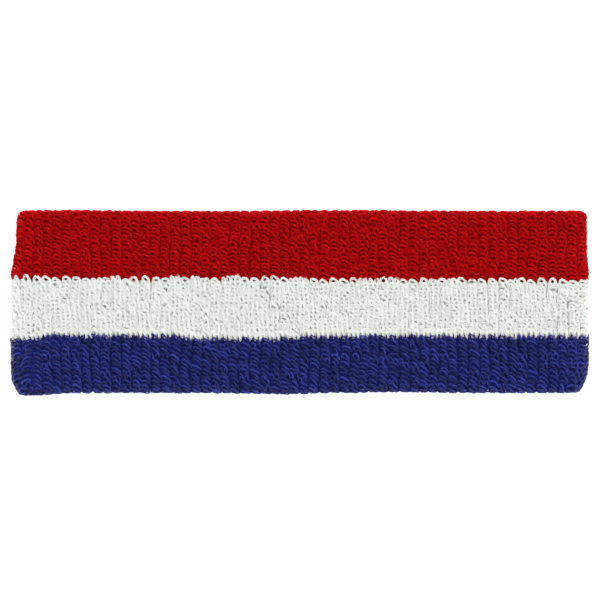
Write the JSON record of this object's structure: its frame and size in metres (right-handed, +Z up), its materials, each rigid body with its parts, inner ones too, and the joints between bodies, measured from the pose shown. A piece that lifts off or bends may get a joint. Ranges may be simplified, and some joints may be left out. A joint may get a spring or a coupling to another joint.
{
  "type": "sports headband",
  "caption": "Elastic terry cloth sweatband worn round the head, a folded double-ply knitted loop with red, white and blue stripes.",
  "frame": {"origin": "centre of the flattened band's underside, in the plane that it lies on", "axes": "+X along the flattened band, +Y across it towards the red edge, +Z up through its thickness"},
  "size_m": [0.18, 0.0572, 0.015],
  "materials": {
    "red_terry": "looped cotton terry pile, dyed red",
    "white_terry": "looped cotton terry pile, white",
    "blue_terry": "looped cotton terry pile, dyed royal blue",
    "elastic_thread": "rubber core covered with fine grey nylon",
    "seam_thread": "spun polyester sewing thread"
  },
  "bodies": {
    "left_end": {"outer_red_left": "red_terry", "outer_white_left": "white_terry", "outer_blue_left": "blue_terry", "inner_red_left": "red_terry", "inner_white_left": "white_terry", "inner_blue_left": "blue_terry", "elastic_thread_01": "elastic_thread", "elastic_thread_02": "elastic_thread", "elastic_thread_03": "elastic_thread", "elastic_thread_04": "elastic_thread", "elastic_thread_05": "elastic_thread", "elastic_thread_06": "elastic_thread", "elastic_thread_07": "elastic_thread", "elastic_thread_08": "elastic_thread", "elastic_thread_09": "elastic_thread", "elastic_thread_10": "elastic_thread", "elastic_thread_11": "elastic_thread", "elastic_thread_12": "elastic_thread", "elastic_thread_13": "elastic_thread", "elastic_thread_14": "elastic_thread", "elastic_thread_15": "elastic_thread", "elastic_thread_16": "elastic_thread", "elastic_thread_17": "elastic_thread", "elastic_thread_18": "elastic_thread", "elastic_thread_19": "elastic_thread", "elastic_thread_20": "elastic_thread", "elastic_thread_21": "elastic_thread", "elastic_thread_22": "elastic_thread", "closing_seam_thread": "seam_thread"},
    "right_end": {"outer_red_right": "red_terry", "outer_white_right": "white_terry", "outer_blue_right": "blue_terry", "inner_red_right": "red_terry", "inner_white_right": "white_terry", "inner_blue_right": "blue_terry"}
  },
  "joints": [
    {"name": "stretch", "type": "slide", "parent": "left_end", "child": "right_end", "axis": [1, 0, 0], "range_m": [0, 0.09], "stiffness_N_per_m": 110, "deforming": ["elastic_thread_01", "elastic_thread_02", "elastic_thread_03", "elastic_thread_04", "elastic_thread_05", "elastic_thread_06", "elastic_thread_07", "elastic_thread_08", "elastic_thread_09", "elastic_thread_10", "elastic_thread_11", "elastic_thread_12", "elastic_thread_13", "elastic_thread_14", "elastic_thread_15", "elastic_thread_16", "elastic_thread_17", "elastic_thread_18", "elastic_thread_19", "elastic_thread_20", "elastic_thread_21", "elastic_thread_22", "closing_seam_thread"]}
  ]
}
